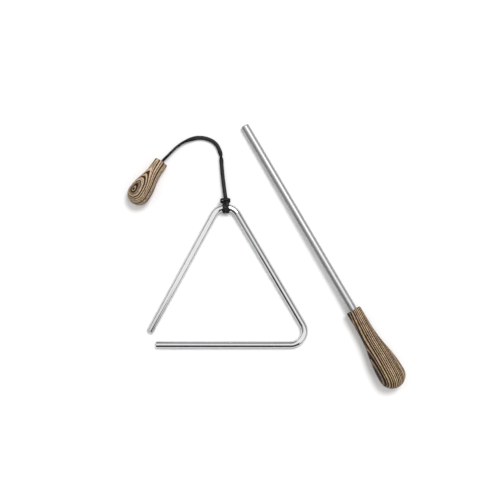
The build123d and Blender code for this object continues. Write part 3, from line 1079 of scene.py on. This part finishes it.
class TRIANGLE_OT_set_stage(Operator):
    """Set the white table, the soft light and the camera above"""

    bl_idname = "triangle.set_stage"
    bl_label = "Set Stage"

    def execute(self, context):
        look = context.scene.triangle_stage_look
        context.scene.view_settings.view_transform = "Standard"
        self.camera(context, look)
        self.floor(look)
        self.dark_cards(look)
        self.light(context, look)
        self.surroundings(context, look)
        return {"FINISHED"}

    def camera(self, context, look):
        """A camera that looks straight down."""
        deselect_all()
        place = (*look.camera_over, look.camera_height + look.view_height)
        bpy.ops.object.camera_add(location=place, rotation=(0, 0, 0))
        camera = context.object
        camera.data.sensor_width = 36
        camera.data.lens = camera.data.sensor_width * look.camera_height / look.view_width
        camera.data.clip_end = 20
        context.scene.camera = camera

    def floor(self, look):
        """A matt table that is white to look at and keeps the shadows."""
        deselect_all()
        bpy.ops.mesh.primitive_plane_add(size=look.table_size, location=(0, 0, 0))
        floor = bpy.context.object
        floor.name = "table"
        finish, tree, shader = new_finish("white_table")
        tree.nodes.remove(shader)
        matt = put(tree, "ShaderNodeBsdfDiffuse", {"Color": paint(look.floor)}).outputs["BSDF"]
        glow = put(tree, "ShaderNodeEmission", {"Strength": look.table_white}).outputs["Emission"]
        lifted = put(tree, "ShaderNodeAddShader", {0: matt, 1: glow}).outputs["Shader"]
        ray = put(tree, "ShaderNodeLightPath").outputs
        shown = calc(tree, "MAXIMUM", ray["Is Camera Ray"], ray["Is Glossy Ray"])
        shown = calc(tree, "MAXIMUM", shown, ray["Is Transmission Ray"])
        mixed = put(tree, "ShaderNodeMixShader", {0: shown, 1: matt, 2: lifted}).outputs["Shader"]
        tree.links.new(mixed, tree.nodes["Material Output"].inputs["Surface"])
        dress(floor, finish)

    def dark_cards(self, look):
        """A dark card in front and a low dark band all round, which polished metal shows at its sides."""
        deselect_all()
        bpy.ops.mesh.primitive_plane_add(size=1, location=look.card_middle, rotation=(pi / 2, 0, 0))
        card = bpy.context.object
        card.name = "dark_card"
        card.scale = (*look.card_size, 1)
        bpy.ops.object.transform_apply(location=False, rotation=False, scale=True)
        deselect_all()
        bpy.ops.mesh.primitive_cylinder_add(
            vertices=turned_steps,
            radius=look.band_radius,
            depth=look.band_height,
            end_fill_type="NOTHING",
            location=(0, 0, look.band_height / 2),
        )
        band = bpy.context.object
        band.name = "dark_band"
        finish, _, shader = new_finish("dark_card")
        shader.inputs["Base Color"].default_value = paint(look.card)
        shader.inputs["Roughness"].default_value = 0.9
        for dark in (card, band):
            dark.visible_camera = False
            dark.visible_diffuse = False
            dark.visible_shadow = False
            dress(dark, finish)

    def light(self, context, look):
        """A wide soft lamp beyond the apex, high over the table."""
        deselect_all()
        towards = Vector(look.lamp_way).normalized()
        bpy.ops.object.light_add(type="SUN", location=towards * look.lamp_distance)
        lamp = context.object
        lamp.name = "soft_lamp"
        lamp.rotation_euler = towards.to_track_quat("Z", "Y").to_euler()
        lamp.data.angle = look.lamp_spread
        lamp.data.energy = look.lamp_strength

    def surroundings(self, context, look):
        """A white room that is greyer towards two sides."""
        world = bpy.data.worlds.new("white_room")
        context.scene.world = world
        world.use_nodes = True
        tree = world.node_tree
        ray = put(tree, "ShaderNodeTexCoord").outputs["Generated"]
        sideways = reach_along(tree, ray, from_above(look.grey_way))
        from_white = calc(tree, "ABSOLUTE", calc(tree, "SUBTRACT", sideways, look.white_middle))
        grey = spread(tree, from_white, (look.white_half, look.grey_from))
        tone = blended(tree, grey, (1, 1, 1, 1), paint(look.room_grey))
        room = tree.nodes["Background"]
        room.inputs["Strength"].default_value = look.room_light
        tree.links.new(tone, room.inputs["Color"])


class TRIANGLE_PT_sidebar(Panel):
    """The steps of the triangle in the sidebar, and its sizes and colours"""

    bl_label = "Triangle"
    bl_idname = "TRIANGLE_PT_sidebar"
    bl_space_type = "VIEW_3D"
    bl_region_type = "UI"
    bl_category = "Triangle"

    def draw(self, context):
        for step in steps:
            self.layout.operator(step.bl_idname)
        for name, group in groups.items():
            box = self.layout.box()
            box.label(text=group.__doc__)
            for value in group.__annotations__:
                box.prop(getattr(context.scene, name), value)


steps = (
    TRIANGLE_OT_set_stage,
    TRIANGLE_OT_lay_lace,
    TRIANGLE_OT_bend_bar,
    TRIANGLE_OT_turn_holder,
    TRIANGLE_OT_draw_rod,
    TRIANGLE_OT_turn_handle,
)
groups = {
    "triangle_bar_sizes": BarSizes,
    "triangle_lace_sizes": LaceSizes,
    "triangle_holder_sizes": HolderSizes,
    "triangle_handle_sizes": HandleSizes,
    "triangle_rod_sizes": RodSizes,
    "triangle_stage_look": StageLook,
}


def register():
    for name, group in groups.items():
        bpy.utils.register_class(group)
        setattr(bpy.types.Scene, name, PointerProperty(type=group))
    for step in steps:
        bpy.utils.register_class(step)
    bpy.utils.register_class(TRIANGLE_PT_sidebar)


def unregister():
    bpy.utils.unregister_class(TRIANGLE_PT_sidebar)
    for step in reversed(steps):
        bpy.utils.unregister_class(step)
    for name, group in groups.items():
        delattr(bpy.types.Scene, name)
        bpy.utils.unregister_class(group)


def main():
    register()
    bpy.ops.triangle.set_stage()
    bpy.ops.triangle.lay_lace()
    bpy.ops.triangle.bend_bar()
    bpy.ops.triangle.turn_holder()
    bpy.ops.triangle.draw_rod()
    bpy.ops.triangle.turn_handle()


if __name__ == "__main__":
    main()
